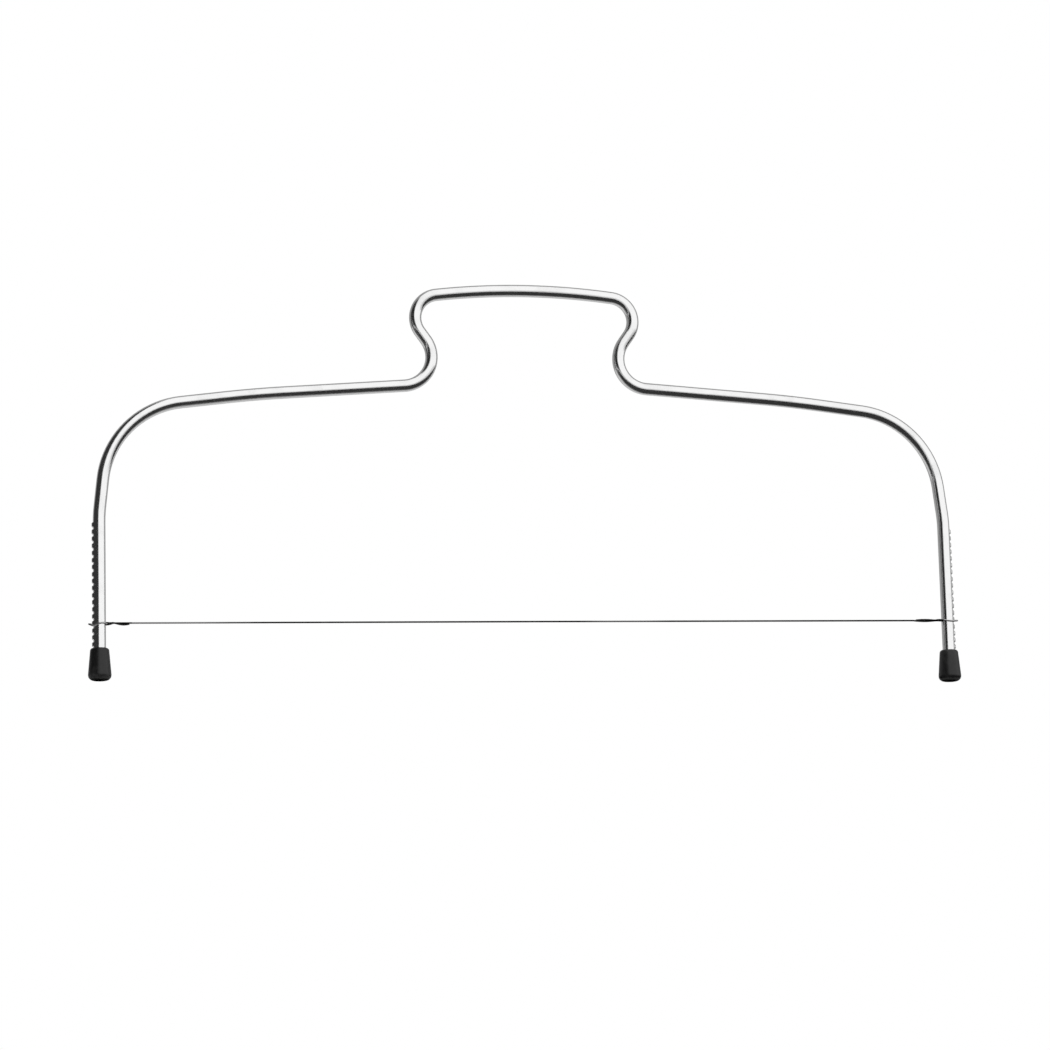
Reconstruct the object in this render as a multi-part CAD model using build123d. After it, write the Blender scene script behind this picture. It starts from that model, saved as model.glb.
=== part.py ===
from build123d import *
import os
from math import asin, cos, degrees, pi, radians, sin, sqrt, tan

# Wire cake leveler: a bent rod frame with toothed legs, a cutting wire hooked
# round the legs, and a rubber foot on each leg. Millimetres, +Z up. The soles
# stand on Z = 0, the legs lie on the X axis, and Y runs from front to back.

# Frame rod
rod_diameter = 4.5
leg_spacing = 312.0  # from the axis of one leg to the axis of the other

# Bend points of the rod's centre line, each height counted from the one before
knee_height = 60.0
shoulder_rise = 38.1
shoulder_inset = 4.2  # how far the shoulder leans in from the leg's axis
crown_rise = 6.5
crown_place_share = 0.414  # of the way from the shoulder to the neck
neck_rise = 5.3
neck_width = 51.2
handle_rise = 31.1
handle_width = 95.0
grip_rise = 5.7

# Bend radii of the rod's centre line
knee_bend_radius = 50.0
shoulder_bend_radius = 32.4
crown_bend_radius = 400.0
neck_bend_radius = 11.0
handle_bend_radius = 8.9
grip_bend_radius = 265.0
bend_room_share = 0.98  # of a straight run, the most that its two bends take

# Teeth on the outer side of each leg
tooth_count = 18
tooth_pitch = 2.54
first_tooth_height = 12.8
tooth_height = 0.47  # how far a crest stands out of the rod
tooth_root_length = 2.2  # along the leg, at the rod's surface
tooth_crest_length = 1.1
tooth_edge_radius = 0.3
tooth_width = 2.4  # across the leg, where the crest runs into the rod

# Feet
foot_height = 11.6
foot_top_radius = 3.32
foot_bottom_radius = 4.34  # where the side's slope would meet the floor
foot_floor_thickness = 1.8
foot_top_edge_radius = 1.0
foot_bottom_edge_radius = 1.2

# Cutting wire
wire_diameter = 0.6
wire_notch = 4  # the notch that the wire lies in, counted from the bottom
eye_clearance = 0.15  # between the strands and the rod
eye_tip_half_angle = 40.0  # degrees
eye_tip_bend_radius = 0.6
eye_inner_length = 5.2  # from the leg's axis to where the strands come together
eye_inner_bend_radius = 3.0
tail_start_share = 0.4  # of the front strand, from where it leaves the leg to the wire

# Twist of the wire's tail round the wire
twist_crossing = 5.4  # from the leg's axis to where the tail crosses over the wire
twist_length = 6.3  # from the crossing to the tail's end
twist_turns = 0.94
twist_clearance = 0.12  # between the tail and the wire
twist_steps = 4  # each one a pair of arcs

# Places worked out from the sizes above
rod_radius = rod_diameter / 2
wire_radius = wire_diameter / 2
leg_x = leg_spacing / 2
wire_height = first_tooth_height + tooth_pitch / 2 + (wire_notch - 1) * tooth_pitch
eye_radius = rod_radius + eye_clearance + wire_radius
twist_radius = wire_diameter + twist_clearance
mirror_plane = Plane.YZ


def half_frame_points():
    """Bend points from the right leg's end to the top of the grip."""
    shoulder = Vector(leg_x - shoulder_inset, 0, knee_height + shoulder_rise)
    crown_height = shoulder.Z + crown_rise
    neck = Vector(neck_width / 2, 0, crown_height + neck_rise)
    crown_x = shoulder.X + (neck.X - shoulder.X) * crown_place_share
    handle = Vector(handle_width / 2, 0, neck.Z + handle_rise)
    return [
        Vector(leg_x, 0, foot_floor_thickness),
        Vector(leg_x, 0, knee_height),
        shoulder,
        Vector(crown_x, 0, crown_height),
        neck,
        handle,
        Vector(0, 0, handle.Z + grip_rise),
    ]


def fitting_radii(points, radii):
    """The radii, each made smaller where its straight runs are too short for it."""
    runs = [after - before for before, after in zip(points, points[1:])]
    corners = range(len(radii))
    half_turns = [radians(runs[i].get_angle(runs[i + 1])) / 2 for i in corners]
    tangents = [radius * tan(half) for radius, half in zip(radii, half_turns)]
    taken = [sum(pair) for pair in zip([0] + tangents, tangents + [0])]
    room = [min(1, bend_room_share * run.length / use) for run, use in zip(runs, taken)]
    return [radii[i] * min(room[i], room[i + 1]) for i in corners]


def frame_route():
    """Centre line of the rod, from the left leg's end to the right leg's end."""
    right = half_frame_points()
    left = [Vector(-point.X, point.Y, point.Z) for point in right]
    points = left + right[-2::-1]
    half_radii = [
        knee_bend_radius,
        shoulder_bend_radius,
        crown_bend_radius,
        neck_bend_radius,
        handle_bend_radius,
    ]
    radii = half_radii + [grip_bend_radius] + half_radii[::-1]
    return FilletPolyline(*points, radius=fitting_radii(points, radii))


def tube(route, radius):
    """Round bar along a route."""
    start = Plane(origin=route @ 0, z_dir=route % 0)
    section = start * Circle(radius)
    bar = sweep(section, path=route)
    expected = pi * radius**2 * route.length
    print(f"tube of radius {radius}: volume {bar.volume:.3f}, section times length {expected:.3f}")
    return bar


def tooth():
    """One tooth, a bead about an upright axis that runs into the rod on both sides."""
    crest = rod_radius + tooth_height
    side_depth = sqrt(rod_radius**2 - (tooth_width / 2) ** 2)
    # The crest's circle goes through the crest and through both ends on the rod
    rise = crest - side_depth
    bead_radius = (rise**2 + (tooth_width / 2) ** 2) / (2 * rise)
    root_radius = bead_radius - tooth_height
    profile = Polyline(
        (0, -tooth_root_length / 2),
        (root_radius, -tooth_root_length / 2),
        (bead_radius, -tooth_crest_length / 2),
        (bead_radius, tooth_crest_length / 2),
        (root_radius, tooth_root_length / 2),
        (0, tooth_root_length / 2),
        close=True,
    )
    face = make_face(Plane.XZ * profile)
    crest_corners = face.vertices().sort_by(Axis.X)[-2:]
    face = fillet(crest_corners, radius=tooth_edge_radius)
    bead = revolve(face, axis=Axis.Z)
    return Pos(crest - bead_radius, 0, 0) * bead


def frame():
    """The bent rod with the teeth of both legs."""
    bar = tube(frame_route(), rod_radius)
    one_tooth = tooth()
    right_teeth = []
    for number in range(tooth_count):
        height = first_tooth_height + number * tooth_pitch
        right_teeth.append(Pos(leg_x, 0, height) * one_tooth)
    left_teeth = [mirror(each, about=mirror_plane) for each in right_teeth]
    return bar + right_teeth + left_teeth


def foot():
    """Rubber cap with a blind bore for the leg's end, standing on the origin."""
    side = FilletPolyline(
        (0, 0, 0),
        (foot_bottom_radius, 0, 0),
        (foot_top_radius, 0, foot_height),
        (rod_radius, 0, foot_height),
        radius=[foot_bottom_edge_radius, foot_top_edge_radius],
    )
    bore = Polyline(
        (rod_radius, 0, foot_height),
        (rod_radius, 0, foot_floor_thickness),
        (0, 0, foot_floor_thickness),
        (0, 0, 0),
    )
    return revolve(make_face(side + bore), axis=Axis.Z)


def biarc(start, start_way, end, end_way):
    """Two arcs that leave one point along one way and reach another along a second way."""
    chord = end - start
    along = chord.dot(start_way + end_way)
    spread = 2 * (1 - start_way.dot(end_way))
    reach = (sqrt(along**2 + spread * chord.dot(chord)) - along) / spread
    first_handle = start + start_way * reach
    second_handle = end - end_way * reach
    middle = (first_handle + second_handle) / 2
    middle_way = (second_handle - first_handle).normalized()
    return [
        TangentArc(start, middle, tangent=start_way),
        TangentArc(middle, end, tangent=middle_way),
    ]


def eye_loop():
    """The wire from its middle round the back of the leg to the front strand. The leg's
    axis is at the origin and the wire's middle on +X."""
    inner_half_angle = degrees(asin(eye_radius / eye_inner_length))
    # The strands wrap the leg between the slopes of the eye's inner and outer ends
    half_wrap = radians(eye_tip_half_angle + inner_half_angle) / 2
    corner_angle = radians(180 + eye_tip_half_angle - inner_half_angle) / 2
    corner_x = eye_radius / cos(half_wrap) * cos(corner_angle)
    corner_y = eye_radius / cos(half_wrap) * sin(corner_angle)
    inner_end = Vector(eye_inner_length, 0, 0)
    front_corner = Vector(corner_x, -corner_y, 0)
    front_way = (inner_end - front_corner).normalized()
    wrap_end = front_corner + front_way * eye_radius * tan(half_wrap)
    return FilletPolyline(
        (leg_x, 0, 0),
        inner_end,
        (corner_x, corner_y, 0),
        (-eye_radius / sin(radians(eye_tip_half_angle)), 0, 0),
        front_corner,
        wrap_end + (inner_end - wrap_end) * tail_start_share,
        radius=[eye_inner_bend_radius, eye_radius, eye_tip_bend_radius, eye_radius],
    )


def twist_point(share):
    """Point of the tail's centre line, a share of the way from the crossing to its end."""
    angle = radians(360 * twist_turns * share)
    along = twist_crossing + twist_length * share
    return Vector(along, twist_radius * sin(angle), twist_radius * cos(angle))


def twist_way(share):
    """Direction of the tail at that point."""
    angle = radians(360 * twist_turns * share)
    around = twist_radius * radians(360 * twist_turns)
    way = Vector(twist_length, around * cos(angle), -around * sin(angle))
    return way.normalized()


def twisted_tail(start, start_way):
    """The tail from the eye's front strand over the wire and round it."""
    arcs = []
    for step in range(twist_steps + 1):
        share = step / twist_steps
        end, end_way = twist_point(share), twist_way(share)
        arcs += biarc(start, start_way, end, end_way)
        start, start_way = end, end_way
    return arcs


def cutting_wire():
    """The wire with both its eyes and twisted tails, in one piece."""
    loop = eye_loop()
    half_route = Curve(loop.edges() + twisted_tail(loop @ 1, loop % 1))
    left_half = Pos(-leg_x, 0, wire_height) * half_route
    route = Wire(left_half.edges() + mirror(left_half, about=mirror_plane).edges())
    return tube(route, wire_radius)


def model():
    """Every piece of the leveler by name."""
    left_foot = Pos(-leg_x, 0, 0) * foot()
    return {
        "frame": frame(),
        "left_foot": left_foot,
        "right_foot": mirror(left_foot, about=mirror_plane),
        "cutting_wire": cutting_wire(),
    }


os.makedirs("parts", exist_ok=True)
for name, piece in model().items():
    export_step(piece, f"parts/{name}.step")
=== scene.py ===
from collections import namedtuple
from math import asin, atan, ceil, cos, pi, radians, sin, sqrt, tan
from random import Random

import bmesh
import bpy
from bpy.props import FloatProperty, FloatVectorProperty, IntProperty, PointerProperty
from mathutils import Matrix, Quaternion, Vector


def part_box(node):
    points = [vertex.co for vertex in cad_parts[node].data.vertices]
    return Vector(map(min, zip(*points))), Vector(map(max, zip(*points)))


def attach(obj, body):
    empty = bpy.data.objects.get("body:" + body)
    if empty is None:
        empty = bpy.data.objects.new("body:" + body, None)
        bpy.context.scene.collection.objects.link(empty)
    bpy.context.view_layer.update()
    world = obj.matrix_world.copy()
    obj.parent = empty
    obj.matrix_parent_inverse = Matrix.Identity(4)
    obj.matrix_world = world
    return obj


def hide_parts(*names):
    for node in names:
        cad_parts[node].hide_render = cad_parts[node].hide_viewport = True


bl_info = {
    "name": "Cake Leveler",
    "version": (1, 0, 0),
    "blender": (4, 5, 0),
    "location": "View3D > Sidebar > Cake Leveler",
    "description": "Models and finishes a wire cake leveler round its packed frame",
    "category": "Add Mesh",
}

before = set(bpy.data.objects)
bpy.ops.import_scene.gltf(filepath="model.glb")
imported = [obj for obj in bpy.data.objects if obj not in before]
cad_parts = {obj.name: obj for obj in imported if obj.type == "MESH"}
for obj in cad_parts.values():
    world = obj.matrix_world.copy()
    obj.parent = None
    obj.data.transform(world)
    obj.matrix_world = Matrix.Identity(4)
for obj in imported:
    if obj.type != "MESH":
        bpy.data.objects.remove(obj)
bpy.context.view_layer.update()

MM = 0.001

# Points nearer to each other than this are one point
MERGE_DISTANCE = 0.001 * MM
# How far an edge may be from the place where it is looked for
PLACE_TOLERANCE = 0.01 * MM
# Edges sharper than these stay sharp
SHARP_METAL = radians(60)
SHARP_RUBBER = radians(40)
# A bend that turns less than this is made straight
LEAST_TURN = radians(0.01)
# All bends of the rod lie in one plane
BEND_PLANE_NORMAL = Vector((0, 1, 0))

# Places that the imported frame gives
LEFT_FOOT_LOW, LEFT_FOOT_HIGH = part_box("left_foot")
RIGHT_FOOT_LOW, RIGHT_FOOT_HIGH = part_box("right_foot")
WIRE_LOW, WIRE_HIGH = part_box("cutting_wire")
LEFT_LEG_X = (LEFT_FOOT_LOW.x + LEFT_FOOT_HIGH.x) / 2
RIGHT_LEG_X = (RIGHT_FOOT_LOW.x + RIGHT_FOOT_HIGH.x) / 2
FOOT_HEIGHT = LEFT_FOOT_HIGH.z
WIRE_HEIGHT = (WIRE_LOW.z + WIRE_HIGH.z) / 2


def length(description, millimetres):
    """A property that holds a length."""
    return FloatProperty(
        description=description,
        default=millimetres * MM,
        min=0,
        unit="LENGTH",
        precision=5,
    )


def angle(description, degrees):
    """A property that holds an angle."""
    return FloatProperty(description=description, default=radians(degrees), subtype="ANGLE")


def share(description, default):
    """A property that holds a share of something else."""
    return FloatProperty(description=description, default=default, min=0, max=1)


def number(description, default, least=1):
    """A property that holds a whole number."""
    return IntProperty(description=description, default=default, min=least)


def colour(description, default):
    """A property that holds a colour."""
    return FloatVectorProperty(
        description=description, default=default, min=0, max=1, size=3, subtype="COLOR"
    )


class RodSizes(bpy.types.PropertyGroup):
    """Sizes of the bent rod, as far as the bend points of its centre line."""

    diameter: length("Thickness of the rod", 4.5)
    leg_spacing: length("From leg to leg", (RIGHT_LEG_X - LEFT_LEG_X) / MM)
    end_height: length("Height of the rod's ends inside the feet", 1.8)
    knee_height: length("Height at which the leg starts to lean in", 60)
    shoulder_rise: length("From the knee up to the shoulder", 38.1)
    shoulder_inset: length("How far the shoulder leans in", 4.2)
    crown_rise: length("From the shoulder up to the crown", 6.5)
    crown_place: share("Share of the way from shoulder to neck", 0.414)
    neck_rise: length("From the crown up to the neck", 5.3)
    neck_width: length("Across the neck", 51.2)
    handle_rise: length("From the neck up to the handle", 31.1)
    handle_width: length("Across the handle", 95)
    grip_rise: length("From the handle's corner up to its middle", 5.7)
    knee_bend: length("Bend radius at the knee", 50)
    shoulder_bend: length("Bend radius at the shoulder", 32.4)
    crown_bend: length("Bend radius at the crown", 400)
    neck_bend: length("Bend radius at the neck", 11)
    handle_bend: length("Bend radius at the handle's corner", 8.9)
    grip_bend: length("Bend radius over the grip", 265)
    bend_room: share("Most of a straight run that its two bends take", 0.98)
    end_chamfer: length("Width of the chamfer on the rod's ends", 0.35)
    sides: number("Faces round the rod", 64, 12)
    bend_step: angle("Most that one step of a bend turns", 4)
    bend_reach: length("Most that one step of a bend is long", 2.5)


class ToothSizes(bpy.types.PropertyGroup):
    """Sizes of the teeth on the outer side of each leg."""

    count: number("Teeth on each leg", 18)
    pitch: length("From crest to crest", 2.54)
    first_height: length("Height of the lowest crest", 12.8)
    height: length("How far a crest stands out of the rod", 0.47)
    root_length: length("Length along the leg at the rod's surface", 2.2)
    crest_length: length("Length of the crest along the leg", 1.1)
    width: length("Across the leg, where the crest runs into the rod", 2.4)
    notch_length: length("Length of a notch along the leg", 0.7)
    notch_reach: length("How far round the leg a notch reaches", 2.05)
    notch_slope: share("Steepness of a notch's two faces", 0.25)
    unevenness: share("How much the teeth differ from each other", 0.16)
    rings: number("Rings of faces to a tooth", 16, 4)


class WireSizes(bpy.types.PropertyGroup):
    """Sizes of the cutting wire, with its eyes and its twisted tails."""

    diameter: length("Thickness of the wire", 0.6)
    eye_clearance: length("Between the strands and the rod", 0.04)
    tip_half_angle: angle("Between a strand and the wire at the tip", 40)
    tip_bend: length("Bend radius at the eye's tip", 0.5)
    low_place: share("Share of the way from tip to corner to the low bend", 0.43)
    low_bend: length("Bend radius of the front strand's low bend", 1)
    inner_length: length("From the leg to where the strands meet", 5.2)
    join_place: share("Share of the way from there to the corner", 0.36)
    crossing: length("From the leg to where the twist starts", 5.4)
    twist_end: length("From the tail's end to where the wire is straight", 1.2)
    twist_steps: number("Double bends in it", 4)
    # The twist between these two places is painted black: painted shade between its strands
    # and painted reflection of the dark surroundings.
    twist_shade_start: length("From the leg to where the dark twist starts", 2.4)
    twist_shade_end: length("From the leg to where the dark twist ends", 11.2)
    sides: number("Faces round the wire", 20, 8)
    bend_step: angle("Most that one step of a bend turns", 6)


class FootSizes(bpy.types.PropertyGroup):
    """Sizes of the rubber caps on the legs."""

    height: length("From the sole to the rim", FOOT_HEIGHT / MM)
    top_radius: length("Radius at the rim", 3.32)
    bottom_radius: length("Radius where the slope meets the floor", 4.34)
    floor_thickness: length("Rubber under the rod's end", 1.8)
    top_edge: length("Rounding of the rim", 1)
    bottom_edge: length("Rounding of the lower edge", 2)
    lip_edge: length("Rounding where the rod goes in", 0.12)
    segments: number("Steps of a rounded edge", 10)


class Finishes(bpy.types.PropertyGroup):
    """Colours and surfaces of the metal and the rubber."""

    steel: colour("Colour of the polished rod", (0.92, 0.92, 0.92))
    dull_steel: colour("Colour of smudges and coined flanks", (0.6, 0.6, 0.6))
    steel_roughness: share("Roughness of clean steel", 0.13)
    smudge_roughness: share("Roughness of smudged steel", 0.18)
    line_roughness: share("Roughness that the drawing lines add", 0.06)
    coined_roughness: share("Roughness that the coining adds", 0.14)
    line_depth: length("Depth of the drawing lines on the rod", 0.0035)
    # Painted light on the wire: the eyes take the lighter colour as a painted highlight on the
    # strands round the legs, and the run between the legs takes the dimmer one as painted
    # shade.
    wire: colour("Colour of the clean wire", (0.7, 0.7, 0.7))
    painted_dim_wire: colour("Colour of the painted dim wire", (0.3, 0.3, 0.3))
    # Painted light on the wire: its darkest colour paints the twists as shade and most of the
    # run as a reflection of the dark studio. That reflection darkens from the first of these
    # places to the second and is paler over one stretch.
    painted_black_wire: colour("Colour of the wire at its darkest", (0.02, 0.02, 0.02))
    painted_dark_start: length("From the left leg to where it darkens", 32)
    painted_dark_full: length("From the left leg to where it is darkest", 62)
    reflection_gap_place: length("From the left leg to the middle of a paler stretch", 190)
    reflection_gap_length: length("Length of the paler stretch", 36)
    wire_line_depth: length("Depth of the lines on the wire", 0.002)
    rubber: colour("Colour of the feet", (0.008, 0.008, 0.0082))
    worn_rubber: colour("Colour of dust and scuffs", (0.035, 0.035, 0.034))
    rubber_grain_depth: length("Depth of the grain of the feet", 0.008)


class StageSettings(bpy.types.PropertyGroup):
    """Camera, light and floor."""

    azimuth: angle("Turn of the camera round the leveler", -10.3)
    elevation: angle("Height of the camera as an angle", -10.4)
    roll: angle("Roll of the camera", 1.42)
    distance: length("From the camera to the leveler", 1400)
    lens: FloatProperty(
        description="Focal length", default=131.95, subtype="DISTANCE_CAMERA"
    )
    aim: FloatVectorProperty(
        description="Point at the middle of the picture",
        default=(-1.65 * MM, 0, 57.26 * MM),
        size=3,
        subtype="XYZ",
        unit="LENGTH",
    )
    floor: colour("Colour of the floor", (0.62, 0.62, 0.62))
    world_light: share("Strength of the surround as light on the leveler", 0.8)
    lamp_power: FloatProperty(
        description="Power of the soft lamp", default=10, subtype="POWER"
    )


# A stretch of a centre line. A straight one has no centre. A bend turns round its axis
# by the right-hand rule.
Stretch = namedtuple("Stretch", "start end centre axis turn")


def straight(start, end):
    """A straight stretch."""
    return Stretch(start, end, None, None, 0)


def stretch_length(stretch):
    """Length of a stretch along its line."""
    if stretch.centre is None:
        return (stretch.end - stretch.start).length
    return (stretch.start - stretch.centre).length * stretch.turn


def rounded_route(points, radii):
    """Straight runs along the points, with a bend of the given radius at each corner."""
    route = []
    start = points[0]
    for before, corner, after, radius in zip(points, points[1:], points[2:], radii):
        way_in = (corner - before).normalized()
        way_out = (after - corner).normalized()
        turn = way_in.angle(way_out)
        axis = way_in.cross(way_out).normalized()
        bend_start = corner - way_in * radius * tan(turn / 2)
        bend_end = corner + way_out * radius * tan(turn / 2)
        centre = bend_start + axis.cross(way_in) * radius
        route.append(straight(start, bend_start))
        route.append(Stretch(bend_start, bend_end, centre, axis, turn))
        start = bend_end
    route.append(straight(start, points[-1]))
    return route


def bend_between(start, way, end):
    """The bend that leaves a point along a way and ends at another point."""
    chord = end - start
    turn = 2 * way.angle(chord)
    if turn < LEAST_TURN:
        return straight(start, end)
    axis = way.cross(chord).normalized()
    radius = chord.length / 2 / sin(turn / 2)
    return Stretch(start, end, start + axis.cross(way) * radius, axis, turn)


def double_bend(start, start_way, end, end_way):
    """Two bends that join smoothly, from one point and way to another."""
    chord = end - start
    along = chord.dot(start_way + end_way)
    spread = 2 * (1 - start_way.dot(end_way))
    reach = chord.dot(chord) / (sqrt(along**2 + spread * chord.dot(chord)) + along)
    first_handle = start + start_way * reach
    second_handle = end - end_way * reach
    middle = (first_handle + second_handle) / 2
    middle_way = (second_handle - first_handle).normalized()
    return [bend_between(start, start_way, middle), bend_between(middle, middle_way, end)]


def bend_through(route, places):
    """Adds double bends to a route, through places that each have a point and a way."""
    for point, way in places:
        route += double_bend(route[-1].end, way_at_end(route[-1]), point, way)


def way_at_end(stretch):
    """Direction in which a stretch ends."""
    if stretch.centre is None:
        return (stretch.end - stretch.start).normalized()
    return stretch.axis.cross(stretch.end - stretch.centre).normalized()


def reversed_route(route):
    """The same centre line from its other end."""
    back = []
    for stretch in reversed(route):
        axis = None if stretch.axis is None else -stretch.axis
        back.append(Stretch(stretch.end, stretch.start, stretch.centre, axis, stretch.turn))
    return back


def flipped(point):
    """The point's mirror image, with left and right exchanged."""
    return Vector((-point.x, point.y, point.z))


def mirrored_route(route):
    """The route's mirror image."""
    image = []
    for start, end, centre, axis, turn in route:
        if centre is not None:
            centre = flipped(centre)
            axis = -flipped(axis)
        image.append(Stretch(flipped(start), flipped(end), centre, axis, turn))
    return image


def deselect_all():
    """Deselects every object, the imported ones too."""
    bpy.ops.object.select_all(action="DESELECT")


def open_piece(name):
    """Names the primitive that was just added, puts its place into its mesh and opens it
    for editing."""
    bpy.ops.object.transform_apply(location=True, rotation=True, scale=True)
    piece = bpy.context.object
    piece.name = name
    piece.data.name = name
    bpy.ops.object.mode_set(mode="EDIT")
    return piece


def start_ring(name, place, way, radius, sides):
    """A ring of edges across the start of a route, as a new object in edit mode."""
    deselect_all()
    turn = way.to_track_quat("Z", "Y").to_euler()
    bpy.ops.mesh.primitive_circle_add(
        vertices=sides, radius=radius, location=place, rotation=turn
    )
    return open_piece(name)


def push_ring(move):
    """Extrudes the selected ring in a straight line."""
    bpy.ops.mesh.extrude_region_move(TRANSFORM_OT_translate={"value": move})


def swing_ring(bend, most_turn, most_length):
    """Extrudes the selected ring round a bend, in steps that turn and reach no further
    than the given limits. Spin turns against the right-hand rule."""
    by_turn = ceil(bend.turn / most_turn)
    by_length = ceil(stretch_length(bend) / most_length)
    bpy.ops.mesh.spin(
        steps=max(2, by_turn, by_length),
        angle=-bend.turn,
        center=bend.centre,
        axis=bend.axis,
        use_auto_merge=False,
    )


def sweep_ring(route, most_turn, most_length):
    """Extrudes the selected ring along a route."""
    for stretch in route:
        if stretch.centre is None:
            push_ring(stretch.end - stretch.start)
        else:
            swing_ring(stretch, most_turn, most_length)


def scale_ring(factor, place):
    """Scales the selected ring about a place."""
    bpy.ops.transform.resize(value=(factor, factor, factor), center_override=place)


def close_end():
    """Fills the selected ring."""
    bpy.ops.mesh.edge_face_add()


def close_tube():
    """Fills the open ring at the tube's start and turns all faces outwards."""
    bpy.ops.mesh.select_all(action="DESELECT")
    bpy.ops.mesh.select_non_manifold()
    bpy.ops.mesh.edge_face_add()
    bpy.ops.mesh.select_all(action="SELECT")
    bpy.ops.mesh.remove_doubles(threshold=MERGE_DISTANCE)
    bpy.ops.mesh.normals_make_consistent(inside=False)
    bpy.ops.object.mode_set(mode="OBJECT")


def select_only(piece, kind, wanted):
    """Selects the edges or faces of the piece in edit mode that wanted() accepts."""
    bpy.ops.mesh.select_mode(type=kind)
    bpy.ops.mesh.select_all(action="DESELECT")
    mesh = bmesh.from_edit_mesh(piece.data)
    for element in mesh.edges if kind == "EDGE" else mesh.faces:
        if wanted(element):
            element.select_set(True)
    bmesh.update_edit_mesh(piece.data)


def half_rod_points(rod):
    """Bend points from the right leg's end to the middle of the grip."""
    shoulder_x = rod.leg_spacing / 2 - rod.shoulder_inset
    shoulder_z = rod.knee_height + rod.shoulder_rise
    crown_x = shoulder_x + (rod.neck_width / 2 - shoulder_x) * rod.crown_place
    crown_z = shoulder_z + rod.crown_rise
    neck_z = crown_z + rod.neck_rise
    handle_z = neck_z + rod.handle_rise
    places = [
        (rod.leg_spacing / 2, rod.end_height),
        (rod.leg_spacing / 2, rod.knee_height),
        (shoulder_x, shoulder_z),
        (crown_x, crown_z),
        (rod.neck_width / 2, neck_z),
        (rod.handle_width / 2, handle_z),
        (0, handle_z + rod.grip_rise),
    ]
    return [Vector((x, 0, z)) for x, z in places]


def fitting_radii(points, radii, room_share):
    """The radii, each made smaller where its straight runs are too short for it."""
    runs = [after - before for before, after in zip(points, points[1:])]
    corners = range(len(radii))
    half_turns = [runs[i].angle(runs[i + 1]) / 2 for i in corners]
    tangents = [radius * tan(half) for radius, half in zip(radii, half_turns)]
    taken = [sum(pair) for pair in zip([0] + tangents, tangents + [0])]
    room = [min(1, room_share * run.length / use) for run, use in zip(runs, taken)]
    return [radii[i] * min(room[i], room[i + 1]) for i in corners]


def rod_route(rod):
    """Centre line of the rod, from the left leg's end to the right leg's end."""
    right = half_rod_points(rod)
    points = [flipped(point) for point in right] + right[-2::-1]
    half_radii = [rod.knee_bend, rod.shoulder_bend, rod.crown_bend]
    half_radii += [rod.neck_bend, rod.handle_bend]
    radii = half_radii + [rod.grip_bend] + half_radii[::-1]
    return rounded_route(points, fitting_radii(points, radii, rod.bend_room))


ToothMark = namedtuple("ToothMark", "height shift")
LEFT_TEETH_SEED = 3
RIGHT_TEETH_SEED = 8


def tooth_marks(teeth, seed):
    """How each tooth differs from the plain one."""
    random = Random(seed)
    marks = []
    for _ in range(teeth.count):
        height = 1 - teeth.unevenness * random.random()
        shift = teeth.pitch * teeth.unevenness / 4 * random.uniform(-1, 1)
        marks.append(ToothMark(height, shift))
    return marks


def tooth_lift(point, rod, teeth, mark, middle):
    """How far a tooth lifts a point on the rod's surface."""
    rod_radius = rod.diameter / 2
    crest = rod_radius + teeth.height
    side_depth = sqrt(rod_radius**2 - (teeth.width / 2) ** 2)
    rise = crest - side_depth
    bead_radius = (rise**2 + (teeth.width / 2) ** 2) / (2 * rise)
    bead_offset = crest - bead_radius
    outward = abs(point.x) - rod.leg_spacing / 2
    distance = abs(point.z - middle - mark.shift)
    slope = (teeth.root_length - teeth.crest_length) / 2
    height_share = min(1, max(0, (teeth.root_length / 2 - distance) / slope))
    height_share = (height_share + height_share**2 * (3 - 2 * height_share)) / 2
    radius = bead_radius - teeth.height * (1 - height_share * mark.height)
    under_root = radius**2 - (bead_offset * point.y / rod_radius) ** 2
    if under_root <= 0:
        return 0
    reach = bead_offset * outward / rod_radius + sqrt(under_root)
    return max(0, reach - rod_radius)


def notch_cut(point, teeth, middle):
    """How far the wedge-shaped notches above and below a tooth cut a point in."""
    from_notch = teeth.pitch / 2 - abs(point.z - middle)
    half_length = teeth.notch_length / 2 * (1 - abs(point.y) / teeth.notch_reach)
    return teeth.notch_slope * max(0, half_length - from_notch)


def coin_teeth(piece, rod, teeth):
    """Lifts the teeth out of the legs and cuts the notches between them, each by a
    Displace modifier and a vertex group."""
    left_marks = tooth_marks(teeth, LEFT_TEETH_SEED)
    right_marks = tooth_marks(teeth, RIGHT_TEETH_SEED)
    bottom = teeth.first_height - teeth.pitch / 2
    lifts = [0.0] * len(piece.data.vertices)
    cuts = [0.0] * len(piece.data.vertices)
    for vertex in piece.data.vertices:
        point = vertex.co
        number = int((point.z - bottom) // teeth.pitch)
        if number not in range(teeth.count) or abs(point.x) <= rod.leg_spacing / 2:
            continue
        middle = teeth.first_height + number * teeth.pitch
        mark = (left_marks if point.x < 0 else right_marks)[number]
        lifts[vertex.index] = tooth_lift(point, rod, teeth, mark, middle)
        cuts[vertex.index] = notch_cut(point, teeth, middle)
    deepest = max(cuts)
    for name, moves, most in (("teeth", lifts, teeth.height), ("notches", cuts, -deepest)):
        group = piece.vertex_groups.new(name=name)
        for index, move in enumerate(moves):
            if move > 0:
                group.add([index], move / abs(most), "REPLACE")
        displace = piece.modifiers.new(name, "DISPLACE")
        displace.vertex_group = group.name
        displace.strength = most
        displace.mid_level = 0
        bpy.ops.object.modifier_apply(modifier=displace.name)
    piece.vertex_groups.clear()
    coined = piece.data.attributes.new("coined", "FLOAT", "POINT")
    shares = [max(lift / teeth.height, cut / deepest) for lift, cut in zip(lifts, cuts)]
    coined.data.foreach_set("value", shares)


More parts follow.
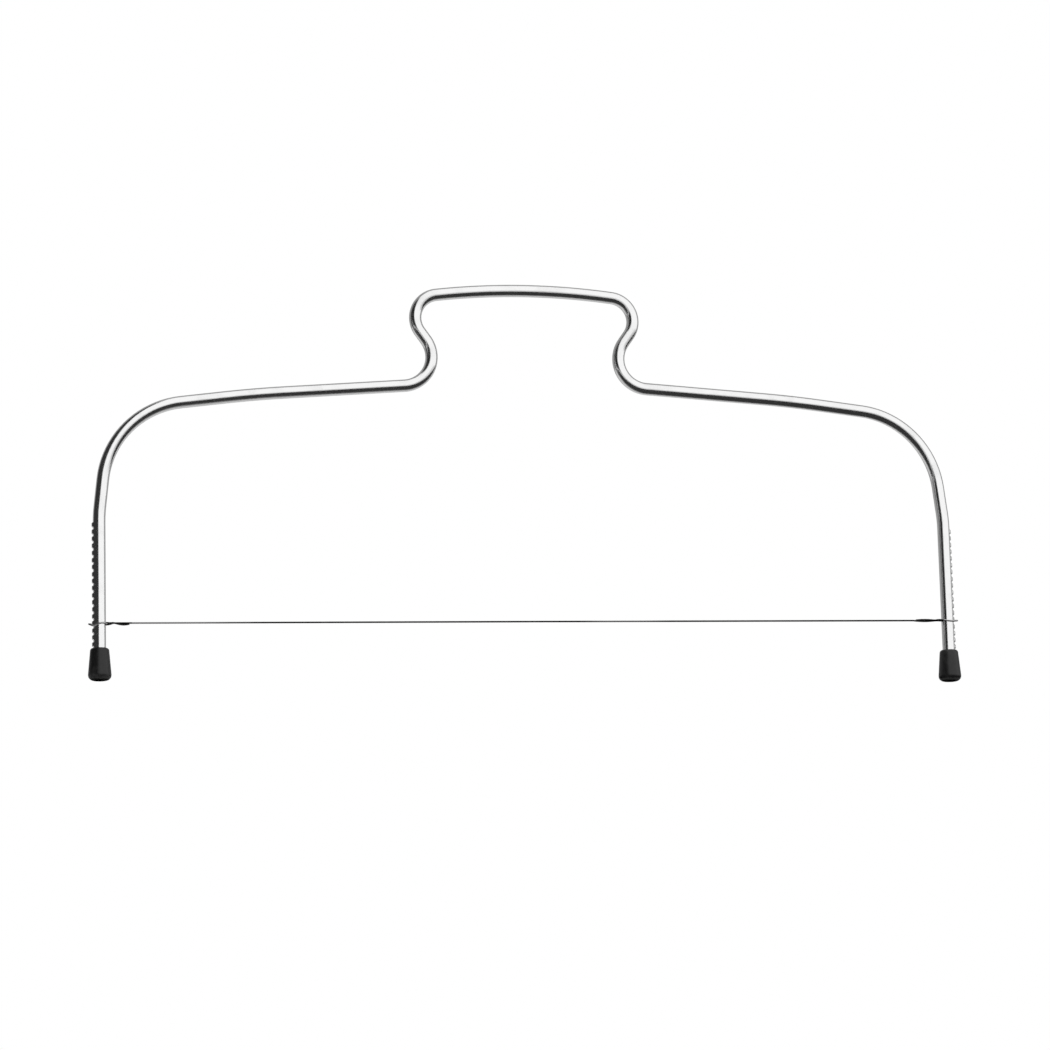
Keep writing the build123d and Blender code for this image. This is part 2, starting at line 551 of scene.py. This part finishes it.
def straighten(piece, route):
    """Writes for each point where it would be if the rod were straight: across the bend
    plane, in the bend plane and along the rod. The drawing lines follow it."""
    starts = [0]
    for stretch in route:
        starts.append(starts[-1] + stretch_length(stretch))
    values = []
    for vertex in piece.data.vertices:
        values.extend(straight_place(vertex.co, route, starts))
    attribute = piece.data.attributes.new("straight_place", "FLOAT_VECTOR", "POINT")
    attribute.data.foreach_set("vector", values)


def straight_place(point, route, starts):
    """A point's place on the straightened rod."""
    nearest = None
    for stretch, start in zip(route, starts):
        if stretch.centre is None:
            way = (stretch.end - stretch.start).normalized()
            offset = point - stretch.start
            along = min(max(offset.dot(way), 0), stretch_length(stretch))
            across = offset.dot(BEND_PLANE_NORMAL.cross(way))
            miss = (offset - way * along).length
        else:
            spoke = point - stretch.centre
            spoke -= BEND_PLANE_NORMAL * spoke.dot(BEND_PLANE_NORMAL)
            first = stretch.start - stretch.centre
            side = 1 if stretch.axis.dot(BEND_PLANE_NORMAL) > 0 else -1
            ahead = first.cross(spoke).dot(stretch.axis) >= 0
            turn = min(first.angle(spoke), stretch.turn) if ahead else 0
            along = turn * first.length
            across = side * (first.length - spoke.length)
            on_line = stretch.centre + spoke.normalized() * first.length
            miss = (point - on_line).length
            if turn in (0, stretch.turn):
                end = stretch.start if turn == 0 else stretch.end
                miss = max(miss, (point - end).length)
        if nearest is None or miss < nearest[0]:
            nearest = (miss, start + along, across)
    return (point.dot(BEND_PLANE_NORMAL), nearest[2], nearest[1])


class LEVELER_OT_bend_rod(bpy.types.Operator):
    """Sweep the rod along its bends and coin the teeth into its legs"""

    bl_idname = "leveler.bend_rod"
    bl_label = "Bend rod"
    bl_options = {"REGISTER", "UNDO"}

    def execute(self, context):
        rod = context.scene.leveler_rod
        teeth = context.scene.leveler_teeth
        route = rod_route(rod)
        piece = self.sweep(rod, teeth, route)
        coin_teeth(piece, rod, teeth)
        straighten(piece, route)
        bpy.ops.object.shade_smooth_by_angle(angle=SHARP_METAL)
        piece.data.materials.append(polished_steel(context.scene.leveler_finishes))
        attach(piece, "frame")
        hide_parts("frame")
        return {"FINISHED"}

    def sweep(self, rod, teeth, route):
        """The bare rod, with a ring of faces for each tooth and many rings within it."""
        radius = rod.diameter / 2
        end_radius = radius - rod.end_chamfer
        start, end = route[0].start, route[-1].end
        up = Vector((0, 0, 1))
        teeth_bottom = teeth.first_height - teeth.pitch / 2
        teeth_room = route[0].end.z - teeth_bottom
        steps = [teeth_bottom - rod.end_height - rod.end_chamfer]
        steps += [teeth_room / teeth.count] * teeth.count
        piece = start_ring("bent_rod", start, up, end_radius, rod.sides)
        push_ring(up * rod.end_chamfer)
        scale_ring(radius / end_radius, start + up * rod.end_chamfer)
        for step in steps:
            push_ring(up * step)
        sweep_ring(route[1:-1], rod.bend_step, rod.bend_reach)
        for step in reversed(steps):
            push_ring(-up * step)
        push_ring(-up * rod.end_chamfer)
        scale_ring(end_radius / radius, end)
        close_end()
        self.divide_legs(piece, rod, teeth, teeth_bottom, teeth_room)
        close_tube()
        return piece

    def divide_legs(self, piece, rod, teeth, bottom, room):
        """Cuts rings into the toothed stretch of each leg."""

        def runs_up_toothed_leg(edge):
            low, high = sorted(vertex.co.z for vertex in edge.verts)
            upright = high - low > room / teeth.count / 2
            over_bottom = low > bottom - rod.end_chamfer
            return upright and over_bottom and high < bottom + room + rod.end_chamfer

        select_only(piece, "EDGE", runs_up_toothed_leg)
        bpy.ops.mesh.subdivide(number_cuts=teeth.rings - 1)


# One end of the wire. The seat is the eye's height on the leg over the wire's middle, and
# the heights over the seat are those of the eye's six bend points, from the back strand's
# inner end round the tip to the front strand's inner end. The tail starts and ends at an
# angle round the wire, counted from above it towards the back, and the wire gives way to
# the tail by a share of what an even twist would have. Lengths are in millimetres and
# angles in degrees.
WireEnd = namedtuple("WireEnd", "seat heights twist_length turn_start turn_end give")


def across_twist(wire, end, share_done):
    """From the wire to its tail, a share of the way along the twist."""
    turn = radians(end.turn_start + (end.turn_end - end.turn_start) * share_done)
    return Vector((0, sin(turn), cos(turn))) * wire.diameter


def wire_in_twist(wire, leg_x, end, share_done):
    """Point of the wire beside its left tail, a share of the way along the twist."""
    along = leg_x + wire.crossing + end.twist_length * MM * share_done
    on_line = Vector((along, 0, WIRE_HEIGHT + end.seat * MM * along / leg_x))
    return on_line - across_twist(wire, end, share_done) * end.give / 2


def tail_in_twist(wire, leg_x, end, share_done):
    """Point of the left tail, which touches the wire beside it."""
    return wire_in_twist(wire, leg_x, end, share_done) + across_twist(wire, end, share_done)


def places_along(point_at, wire, leg_x, end):
    """Points of a strand in the twist and its way at each."""
    places = []
    nudge = 0.5 / wire.twist_steps
    for step in range(wire.twist_steps + 1):
        done = step / wire.twist_steps
        before = point_at(wire, leg_x, end, done - nudge)
        after = point_at(wire, leg_x, end, done + nudge)
        places.append((point_at(wire, leg_x, end, done), (after - before).normalized()))
    return places


def eye_route(wire, rod, leg_x, end):
    """The left eye, from where the wire leaves the twist at the back of the leg to where
    the front strand turns to the twist."""
    radius = rod.diameter / 2 + wire.eye_clearance + wire.diameter / 2
    inner_half_angle = asin(radius / wire.inner_length)
    half_wrap = (wire.tip_half_angle + inner_half_angle) / 2
    corner_angle = (pi + wire.tip_half_angle - inner_half_angle) / 2
    corner_x = radius / cos(half_wrap) * cos(corner_angle)
    corner_y = radius / cos(half_wrap) * sin(corner_angle)
    tip_x = -radius / sin(wire.tip_half_angle)
    low_x = tip_x + (corner_x - tip_x) * wire.low_place
    low_y = corner_y * wire.low_place
    join_x = wire.inner_length - (wire.inner_length - corner_x) * wire.join_place
    join_y = corner_y * wire.join_place

    back = [(join_x, join_y), (corner_x, corner_y), (tip_x, 0)]
    front = [(low_x, -low_y), (corner_x, -corner_y), (join_x, -join_y)]
    seat = Vector((leg_x, 0, WIRE_HEIGHT + end.seat * MM))
    plan = zip(back + front, end.heights)
    points = [seat + Vector((x, y, height * MM)) for (x, y), height in plan]
    return rounded_route(points, [radius, wire.tip_bend, wire.low_bend, radius])


def half_wire_route(wire, rod, leg_x, end):
    """Centre line of the wire's left half, from its middle round the leg to the tail's end."""
    straight_x = leg_x + wire.crossing + end.twist_length * MM + wire.twist_end
    straight_z = WIRE_HEIGHT + end.seat * MM * straight_x / leg_x
    route = [straight(Vector((0, 0, WIRE_HEIGHT)), Vector((straight_x, 0, straight_z)))]
    inward = places_along(wire_in_twist, wire, leg_x, end)
    bend_through(route, [(point, -way) for point, way in reversed(inward)])
    eye = eye_route(wire, rod, leg_x, end)
    bend_through(route, [(eye[0].start, way_at_end(eye[0]))])
    route += eye
    bend_through(route, places_along(tail_in_twist, wire, leg_x, end))
    return route


# As the photograph shows the two ends: the left eye sits low on its leg and hangs crooked,
# with the tail turned under the wire, and the right one sits high, with the tail turned
# over the wire.
LEFT_END = WireEnd(
    seat=-1.1,
    heights=(-0.3, -0.4, -0.28, -1.15, -0.18, -0.1),
    twist_length=5.2,
    turn_start=-100,
    turn_end=-245,
    give=0,
)
RIGHT_END = WireEnd(
    seat=0.96,
    heights=(0.12, 0.3, 0, -0.35, -0.5, 0.08),
    twist_length=6.6,
    turn_start=-75,
    turn_end=55,
    give=0.95,
)


class LEVELER_OT_string_wire(bpy.types.Operator):
    """Hook the cutting wire round both legs and twist its tails"""

    bl_idname = "leveler.string_wire"
    bl_label = "String wire"
    bl_options = {"REGISTER", "UNDO"}

    def execute(self, context):
        wire = context.scene.leveler_wire
        rod = context.scene.leveler_rod
        left = half_wire_route(wire, rod, LEFT_LEG_X, LEFT_END)
        right = half_wire_route(wire, rod, LEFT_LEG_X, RIGHT_END)
        route = reversed_route(left) + mirrored_route(right)
        first_way = -way_at_end(left[-1])
        radius = wire.diameter / 2
        piece = start_ring("strung_wire", route[0].start, first_way, radius, wire.sides)
        sweep_ring(route, wire.bend_step, wire.diameter)
        close_end()
        close_tube()
        bpy.ops.object.shade_smooth_by_angle(angle=SHARP_METAL)
        piece.data.materials.append(drawn_wire(context.scene.leveler_finishes, wire))
        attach(piece, "wire")
        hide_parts("cutting_wire")
        return {"FINISHED"}


class LEVELER_OT_mould_feet(bpy.types.Operator):
    """Mould a rubber cap for the end of each leg"""

    bl_idname = "leveler.mould_feet"
    bl_label = "Mould feet"
    bl_options = {"REGISTER", "UNDO"}

    def execute(self, context):
        foot = context.scene.leveler_foot
        rod = context.scene.leveler_rod
        rubber = moulded_rubber(context.scene.leveler_finishes)
        for side, leg_x in (("left", LEFT_LEG_X), ("right", RIGHT_LEG_X)):
            piece = self.cap(f"{side}_foot_cap", Vector((leg_x, 0, 0)), foot, rod)
            piece.data.materials.append(rubber)
            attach(piece, "frame")
            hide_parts(f"{side}_foot")
        return {"FINISHED"}

    def cap(self, name, place, foot, rod):
        """One rubber cap with its bore, standing at a place."""
        deselect_all()
        bpy.ops.mesh.primitive_cone_add(
            vertices=rod.sides,
            radius1=foot.bottom_radius,
            radius2=foot.top_radius,
            depth=foot.height,
            end_fill_type="NGON",
            location=place + Vector((0, 0, foot.height / 2)),
        )
        piece = open_piece(name)
        slope = atan((foot.bottom_radius - foot.top_radius) / foot.height)
        top_setback = foot.top_edge * tan((pi / 2 - slope) / 2)
        bottom_setback = foot.bottom_edge * tan((pi / 2 + slope) / 2)
        self.round_edges(piece, foot, self.at_height(foot.height), top_setback)
        self.round_edges(piece, foot, self.at_height(0), bottom_setback)
        land = foot.top_radius - top_setback - rod.diameter / 2
        self.bore(piece, foot, land * cos(pi / rod.sides))
        lip = self.at_height(foot.height, place, rod.diameter / 2)
        self.round_edges(piece, foot, lip, foot.lip_edge)
        bpy.ops.mesh.select_all(action="SELECT")
        bpy.ops.mesh.normals_make_consistent(inside=False)
        bpy.ops.object.mode_set(mode="OBJECT")
        bpy.ops.object.shade_smooth_by_angle(angle=SHARP_RUBBER)
        return piece

    def at_height(self, height, axis=None, radius=None):
        """A test for edges at a height, and at a radius if one is given."""

        def matches(edge):
            level = all(abs(vertex.co.z - height) < PLACE_TOLERANCE for vertex in edge.verts)
            if not level or radius is None:
                return level
            outwards = [(vertex.co - axis).xy.length for vertex in edge.verts]
            return all(abs(outward - radius) < PLACE_TOLERANCE for outward in outwards)

        return matches

    def round_edges(self, piece, foot, wanted, setback):
        """Rounds edges, from a setback on the faces on both sides of them."""
        select_only(piece, "EDGE", wanted)
        bpy.ops.mesh.bevel(offset=setback, segments=foot.segments, affect="EDGES")

    def bore(self, piece, foot, land):
        """Sinks the hole for the rod from the top face, inside a narrow land."""

        def is_top(face):
            return len(face.verts) > 4 and face.normal.z > 0

        select_only(piece, "FACE", is_top)
        bpy.ops.mesh.inset(thickness=land, depth=0)
        push_ring(Vector((0, 0, foot.floor_thickness - foot.height)))


def add_node(tree, kind, inputs, **options):
    """Adds a node with its options set, and each input linked to a socket or set."""
    node = tree.nodes.new("ShaderNode" + kind)
    for name, value in options.items():
        setattr(node, name, value)
    for name, value in inputs.items():
        if isinstance(value, bpy.types.NodeSocket):
            tree.links.new(value, node.inputs[name])
        else:
            node.inputs[name].default_value = value
    return node


def sum_of(tree, first, second):
    """Two values added."""
    return add_node(tree, "Math", {0: first, 1: second}, operation="ADD").outputs[0]


def product(tree, first, second):
    """Two values multiplied."""
    return add_node(tree, "Math", {0: first, 1: second}, operation="MULTIPLY").outputs[0]


def remap(tree, value, start, end, new_start=0.0, new_end=1.0, curve="SMOOTHSTEP"):
    """A value moved from one range to another, and held at its ends."""
    inputs = {"Value": value, "From Min": start, "From Max": end}
    inputs |= {"To Min": new_start, "To Max": new_end}
    return add_node(tree, "MapRange", inputs, interpolation_type=curve).outputs[0]


def mix_colours(tree, factor, *colours):
    """The first colour where the factor is 0, and the second where it is 1."""
    inputs = {0: factor}
    for slot, colour in zip((6, 7), colours):
        inputs[slot] = colour if isinstance(colour, bpy.types.NodeSocket) else (*colour, 1)
    return add_node(tree, "Mix", inputs, data_type="RGBA").outputs[2]


def grain_of(tree, place, size, detail):
    """Cloudy noise about its middle, for spots of a size."""
    scale = add_node(tree, "VectorMath", {0: place, 3: 1 / size}, operation="SCALE")
    inputs = {"Vector": scale.outputs[0], "Scale": 1.0, "Detail": detail}
    return add_node(tree, "TexNoise", inputs).outputs[0]


def from_group(tree, name, fill, inputs):
    """The value of a shared node group in a material. On its first use the group is made,
    and filled by a function that takes its tree and inputs and gives back the value."""
    group = bpy.data.node_groups.get(name)
    if group is None:
        group = bpy.data.node_groups.new(name, "ShaderNodeTree")
        for label in inputs:
            kind = "NodeSocketVector" if label == "Place" else "NodeSocketFloat"
            group.interface.new_socket(label, in_out="INPUT", socket_type=kind)
        group.interface.new_socket("Value", in_out="OUTPUT", socket_type="NodeSocketFloat")
        given = group.nodes.new("NodeGroupInput").outputs
        result = group.nodes.new("NodeGroupOutput").inputs
        group.links.new(fill(group, given), result["Value"])
    return add_node(tree, "Group", inputs, node_tree=group).outputs[0]


def fill_drawing_lines(tree, given):
    """Lines that the drawing die leaves along a bar, whose length is the place's Z."""
    cell = {0: given["Line Width"], 1: given["Line Width"], 2: given["Line Length"]}
    cell = add_node(tree, "CombineXYZ", cell)
    scaled = {0: given["Place"], 1: cell.outputs[0]}
    scaled = add_node(tree, "VectorMath", scaled, operation="DIVIDE")
    noise = {"Vector": scaled.outputs[0], "Scale": 1.0, "Detail": 2.0, "Roughness": 0.6}
    noise = add_node(tree, "TexNoise", noise)
    return remap(tree, noise.outputs[0], 0.25, 0.75)


def drawing_lines(tree, place, line):
    """Lines of a width and a length along a bar."""
    inputs = {"Place": place, "Line Width": line[0], "Line Length": line[1]}
    return from_group(tree, "drawing_lines", fill_drawing_lines, inputs)


def fill_handling_marks(tree, given):
    """Smudges and dust from handling, in patches of a size."""
    inverse = add_node(tree, "Math", {0: 1.0, 1: given["Patch Size"]}, operation="DIVIDE")
    scaled = {0: given["Place"], 3: inverse.outputs[0]}
    scaled = add_node(tree, "VectorMath", scaled, operation="SCALE").outputs[0]
    patches = {"Vector": scaled, "Scale": 1.0, "Detail": 3.0, "Distortion": 0.6}
    patches = remap(tree, add_node(tree, "TexNoise", patches).outputs[0], 0.48, 0.68)
    specks = {"Vector": scaled, "Scale": 23.0, "Detail": 2.0}
    specks = remap(tree, add_node(tree, "TexNoise", specks).outputs[0], 0.35, 0.7, 0.4, 1.0)
    return product(tree, patches, specks)


def handling_marks(tree, place, patch_size):
    """Smudges and dust, in patches of a size."""
    inputs = {"Place": place, "Patch Size": patch_size}
    return from_group(tree, "handling_marks", fill_handling_marks, inputs)


def new_material(name):
    """A material and its Principled shader."""
    material = bpy.data.materials.new(name)
    material.use_nodes = True
    tree = material.node_tree
    shader = next(node for node in tree.nodes if node.type == "BSDF_PRINCIPLED")
    return material, tree, shader


def set_surface(tree, factor, first, second):
    """Gives a material the first shader where a factor is 0, and the second where it's 1."""
    mix = add_node(tree, "MixShader", {0: factor, 1: first, 2: second})
    output = next(node for node in tree.nodes if node.type == "OUTPUT_MATERIAL")
    tree.links.new(mix.outputs[0], output.inputs["Surface"])


def set_finish(tree, shader, base, rough, height, depth):
    """Gives a shader its colour and its roughness, and raises the surface by a height from
    0 to 1 times a depth."""
    bump = add_node(tree, "Bump", {"Strength": 1.0, "Distance": depth, "Height": height})
    tree.links.new(base, shader.inputs["Base Color"])
    tree.links.new(rough, shader.inputs["Roughness"])
    tree.links.new(bump.outputs["Normal"], shader.inputs["Normal"])


# Sizes of what shows on the surfaces, with each line's width before its length
BROAD_LINE = (0.5 * MM, 7 * MM)
FINE_LINE = (0.14 * MM, 4 * MM)
WIRE_LINE = (0.07 * MM, 5 * MM)
ROD_SMUDGE = 9 * MM
WIRE_SMUDGE = 6 * MM
DUST_PATCH = 4 * MM
COINED_MOTTLE = 0.5 * MM
RUBBER_GRAIN = 0.16 * MM
SCUFF = 0.6 * MM
SCUFF_HEIGHT = 1.6 * MM  # over the sole, where the scuffs end
SOLE_EDGE = 0.2 * MM

# Shares in a finish
BROAD_LINE_SHARE = 0.75  # of the rod's relief, with the fine lines for the rest
SMUDGE_DULLNESS = 0.25
MOTTLE_DEPTH = 8.0  # of the coined metal, in depths of the drawing lines
WIRE_LINE_STAIN = 0.35
WIRE_SMUDGE_STAIN = 0.25


def polished_steel(finishes):
    """Bright drawn rod with fine lines along it, smudged where hands hold it, and matt
    where the teeth are coined."""
    material, tree, shader = new_material("polished_steel")
    place = add_node(tree, "Attribute", {}, attribute_name="straight_place").outputs["Vector"]
    coined = add_node(tree, "Attribute", {}, attribute_name="coined").outputs["Fac"]
    broad = drawing_lines(tree, place, BROAD_LINE)
    fine = drawing_lines(tree, place, FINE_LINE)
    marks = handling_marks(tree, place, ROD_SMUDGE)
    mottle = grain_of(tree, place, COINED_MOTTLE, 3.0)
    smooth = remap(tree, marks, 0, 1, finishes.steel_roughness, finishes.smudge_roughness)
    lined = sum_of(tree, smooth, product(tree, fine, finishes.line_roughness))
    rough = sum_of(tree, lined, product(tree, coined, finishes.coined_roughness))
    mottled = product(tree, mottle, coined)
    dull = sum_of(tree, mottled, product(tree, marks, SMUDGE_DULLNESS))
    steel = mix_colours(tree, dull, finishes.steel, finishes.dull_steel)
    shader.inputs["Metallic"].default_value = 1
    broad = product(tree, broad, BROAD_LINE_SHARE)
    lines = sum_of(tree, broad, product(tree, fine, 1 - BROAD_LINE_SHARE))
    relief = sum_of(tree, lines, product(tree, mottled, MOTTLE_DEPTH))
    set_finish(tree, shader, steel, rough, relief, finishes.line_depth)
    return material


def distance_from(tree, value, middle):
    """How far a value is from a middle."""
    offset = add_node(tree, "Math", {0: value, 1: middle}, operation="SUBTRACT").outputs[0]
    return add_node(tree, "Math", {0: offset}, operation="ABSOLUTE").outputs[0]


def drawn_wire(finishes, wire):
    """Thin hard wire with lines along it. Its colour holds painted light: the run between the
    legs is dimmer than the eyes as painted shade, which leaves the strands round the legs
    lighter as a painted highlight; the twists are painted black as shade; and most of the run
    is painted black as a reflection of the dark studio, paler only near its left end."""
    material, tree, shader = new_material("drawn_wire")
    place = add_node(tree, "TexCoord", {}).outputs["Object"]
    turned = add_node(tree, "VectorRotate", {0: place, 3: pi / 2}, rotation_type="Y_AXIS")
    lines = drawing_lines(tree, turned.outputs[0], WIRE_LINE)
    marks = product(tree, handling_marks(tree, place, WIRE_SMUDGE), WIRE_SMUDGE_STAIN)
    worn = sum_of(tree, product(tree, lines, WIRE_LINE_STAIN), marks)
    across = add_node(tree, "SeparateXYZ", {0: place}).outputs["X"]
    outward = distance_from(tree, across, 0.0)
    blend = wire.diameter
    leg_side = RIGHT_LEG_X - wire.twist_shade_start
    # The run between the legs takes the dimmer colour, painted shade that leaves the eye
    # strands lighter as a painted highlight.
    inside = remap(tree, outward, leg_side + blend, leg_side)
    metal = mix_colours(tree, sum_of(tree, inside, worn), finishes.wire, finishes.painted_dim_wire)
    # The twist is painted black: painted shade between its strands and painted reflection of
    # the dark surroundings.
    twist_end = RIGHT_LEG_X - wire.twist_shade_end
    twisted = remap(tree, outward, twist_end - blend, twist_end)
    # Most of the run is painted black as well, a painted reflection of the dark studio, paler
    # near the left end and over one stretch.
    start = LEFT_LEG_X + finishes.painted_dark_start
    painted_dark_run = remap(tree, across, start, LEFT_LEG_X + finishes.painted_dark_full)
    from_gap = distance_from(tree, across, LEFT_LEG_X + finishes.reflection_gap_place)
    gap = remap(tree, from_gap, finishes.reflection_gap_length / 6, finishes.reflection_gap_length / 2)
    painted_dark_run = product(tree, product(tree, painted_dark_run, gap), remap(tree, worn, 0.6, 0.3))
    black = add_node(tree, "Math", {0: painted_dark_run, 1: twisted}, operation="MAXIMUM").outputs[0]
    colours = mix_colours(tree, product(tree, black, inside), metal, finishes.painted_black_wire)
    rough = sum_of(tree, remap(tree, worn, 0, 1, 0.16, 0.3), product(tree, black, 0.15))
    shader.inputs["Metallic"].default_value = 1
    set_finish(tree, shader, colours, rough, lines, finishes.wire_line_depth)
    return material


def moulded_rubber(finishes):
    """Black rubber with a fine grain, dusty in patches and scuffed round the sole."""
    material, tree, shader = new_material("moulded_rubber")
    place = add_node(tree, "TexCoord", {}).outputs["Object"]
    grain = grain_of(tree, place, RUBBER_GRAIN, 2.0)
    dust = handling_marks(tree, place, DUST_PATCH)
    height = add_node(tree, "SeparateXYZ", {0: place}).outputs["Z"]
    low = remap(tree, height, SCUFF_HEIGHT, SOLE_EDGE)
    scuffs = product(tree, low, remap(tree, grain_of(tree, place, SCUFF, 3.0), 0.4, 0.6))
    worn = sum_of(tree, product(tree, dust, 0.5), product(tree, scuffs, 0.7))
    rubber = mix_colours(tree, worn, finishes.rubber, finishes.worn_rubber)
    rough = remap(tree, worn, 0, 1, 0.34, 0.7)
    set_finish(tree, shader, rubber, rough, grain, finishes.rubber_grain_depth)
    return material


# A panel of the studio that only the gloss of the leveler shows, in metres and degrees. It
# lies flat until it is tilted up, leaned within its own plane and turned, and fades out
# towards its edges by a share of its width and of its height.
Card = namedtuple("Card", "name brightness centre size tilt lean turn fades")

CARDS = (
    Card("back_card", 0.35, (0, 0.47, 0), (12, 12), 90, 0, 0, (0.02, 0.02)),
    Card("side_card", 0.265, (-0.63, 0.87, 1.5), (2.4, 5), 90, 0, -105, (0.1, 0.1)),
    Card("front_card", 0.018, (-1.01, -0.66, 0.64), (1.48, 2.79), 90, -30, -58, (0.48, 0.02)),
    Card("leg_card", 0.033, (-0.188, 0, 0.165), (0.079, 0.328), 90, 0, -55, (0.11, 0.02)),
    Card("floor_card", 0.032, (0.64, 0.02, 0.0008), (2.64, 0.48), 0, 0, 16, (0.13, 0.42)),
)


def fill_card_fade(tree, given):
    """How much of a card is left towards its edges."""
    spot = add_node(tree, "SeparateXYZ", {0: add_node(tree, "TexCoord", {}).outputs["UV"]})
    cover = 1.0
    for axis, label in (("X", "Across"), ("Y", "Up")):
        edge = add_node(tree, "Math", {0: spot.outputs[axis], 1: 0.5}, operation="PINGPONG")
        cover = product(tree, cover, remap(tree, edge.outputs[0], 0, given[label]))
    return cover


FLOOR_SIZE = 6
LAMP_SIZE = 1.5
LAMP_PLACE = Vector((0.9, -1.3, 1.5))
SENSOR_WIDTH = 36


class LEVELER_OT_set_stage(bpy.types.Operator):
    """Set the floor, the cards, the light and the camera"""

    bl_idname = "leveler.set_stage"
    bl_label = "Set stage"
    bl_options = {"REGISTER", "UNDO"}

    def execute(self, context):
        stage = context.scene.leveler_stage
        self.lay_floor(stage)
        for card in CARDS:
            self.stand_card(card)
        self.light_world(context.scene, stage)
        self.hang_lamp(context.scene, stage)
        self.place_camera(context.scene, stage)
        context.scene.view_settings.view_transform = "Standard"
        return {"FINISHED"}

    def lay_floor(self, stage):
        """A pale floor that is clear from below, where the camera of the photograph is."""
        deselect_all()
        bpy.ops.mesh.primitive_plane_add(size=FLOOR_SIZE, location=(0, 0, 0))
        floor = bpy.context.object
        floor.name = "floor"
        material, tree, shader = new_material("pale_floor")
        shader.inputs["Base Color"].default_value = (*stage.floor, 1)
        shader.inputs["Roughness"].default_value = 0.9
        below = add_node(tree, "NewGeometry", {}).outputs["Backfacing"]
        clear = add_node(tree, "BsdfTransparent", {}).outputs[0]
        set_surface(tree, below, shader.outputs[0], clear)
        floor.data.materials.append(material)

    def stand_card(self, card):
        """One card of the studio."""
        deselect_all()
        bpy.ops.mesh.primitive_plane_add(size=1)
        panel = bpy.context.object
        panel.name = card.name
        panel.scale = (*card.size, 1)
        panel.rotation_euler = (radians(card.tilt), radians(card.lean), radians(card.turn))
        panel.location = card.centre
        for kind in ("camera", "diffuse", "transmission", "shadow", "volume_scatter"):
            setattr(panel, f"visible_{kind}", False)
        material, tree, shader = new_material(card.name)
        tree.nodes.remove(shader)
        fades = {"Across": card.fades[0] / 2, "Up": card.fades[1] / 2}
        cover = from_group(tree, "card_fade", fill_card_fade, fades)
        clear = add_node(tree, "BsdfTransparent", {}).outputs[0]
        glow = add_node(tree, "Emission", {"Strength": card.brightness}).outputs[0]
        set_surface(tree, cover, clear, glow)
        panel.data.materials.append(material)

    def light_world(self, scene, stage):
        """A white surround, a little weaker as light on the leveler than as a background."""
        world = bpy.data.worlds.new("studio")
        scene.world = world
        world.use_nodes = True
        tree = world.node_tree
        background = next(node for node in tree.nodes if node.type == "BACKGROUND")
        background.inputs["Color"].default_value = (1, 1, 1, 1)
        diffuse = add_node(tree, "LightPath", {}).outputs["Is Diffuse Ray"]
        strength = remap(tree, diffuse, 0, 1, 1.0, stage.world_light, "LINEAR")
        tree.links.new(strength, background.inputs["Strength"])

    def hang_lamp(self, scene, stage):
        """One large soft lamp in front, above and to the right."""
        lamp = bpy.data.lights.new("soft_lamp", "AREA")
        lamp.size = LAMP_SIZE
        lamp.energy = stage.lamp_power
        holder = bpy.data.objects.new("soft_lamp", lamp)
        scene.collection.objects.link(holder)
        holder.location = LAMP_PLACE
        holder.rotation_euler = (-LAMP_PLACE).to_track_quat("-Z", "Y").to_euler()
        holder.visible_glossy = False

    def place_camera(self, scene, stage):
        """The camera at the photograph's place, looking up a little."""
        camera = bpy.data.cameras.new("camera")
        holder = bpy.data.objects.new("camera", camera)
        scene.collection.objects.link(holder)
        camera.lens = stage.lens
        camera.sensor_width = SENSOR_WIDTH
        level = cos(stage.elevation)
        right, forward = sin(stage.azimuth) * level, -cos(stage.azimuth) * level
        back = Vector((right, forward, sin(stage.elevation)))
        holder.location = Vector(stage.aim) + back * stage.distance
        upright = (-back).to_track_quat("-Z", "Y")
        holder.rotation_mode = "QUATERNION"
        holder.rotation_quaternion = upright @ Quaternion((0, 0, 1), -stage.roll)
        scene.camera = holder


class LEVELER_PT_build(bpy.types.Panel):
    """Steps of the build in the sidebar."""

    bl_idname = "LEVELER_PT_build"
    bl_label = "Cake Leveler"
    bl_space_type = "VIEW_3D"
    bl_region_type = "UI"
    bl_category = "Cake Leveler"

    def draw(self, context):
        for operator in OPERATORS:
            self.layout.operator(operator.bl_idname)


OPERATORS = (
    LEVELER_OT_bend_rod,
    LEVELER_OT_string_wire,
    LEVELER_OT_mould_feet,
    LEVELER_OT_set_stage,
)
GROUPS = {
    "leveler_rod": RodSizes,
    "leveler_teeth": ToothSizes,
    "leveler_wire": WireSizes,
    "leveler_foot": FootSizes,
    "leveler_finishes": Finishes,
    "leveler_stage": StageSettings,
}


def register():
    """Registers the add-on, with each property labelled by its own name."""
    for name, group in GROUPS.items():
        for key, entry in group.__annotations__.items():
            entry.keywords["name"] = key.replace("_", " ").capitalize()
        bpy.utils.register_class(group)
        setattr(bpy.types.Scene, name, PointerProperty(type=group))
    for operator in OPERATORS:
        bpy.utils.register_class(operator)
    bpy.utils.register_class(LEVELER_PT_build)


def unregister():
    """Takes the add-on out again."""
    bpy.utils.unregister_class(LEVELER_PT_build)
    for operator in reversed(OPERATORS):
        bpy.utils.unregister_class(operator)
    for name, group in GROUPS.items():
        delattr(bpy.types.Scene, name)
        bpy.utils.unregister_class(group)


def main():
    """Builds the leveler and its stage."""
    register()
    bpy.ops.leveler.bend_rod()
    bpy.ops.leveler.string_wire()
    bpy.ops.leveler.mould_feet()
    bpy.ops.leveler.set_stage()


if __name__ == "__main__":
    main()
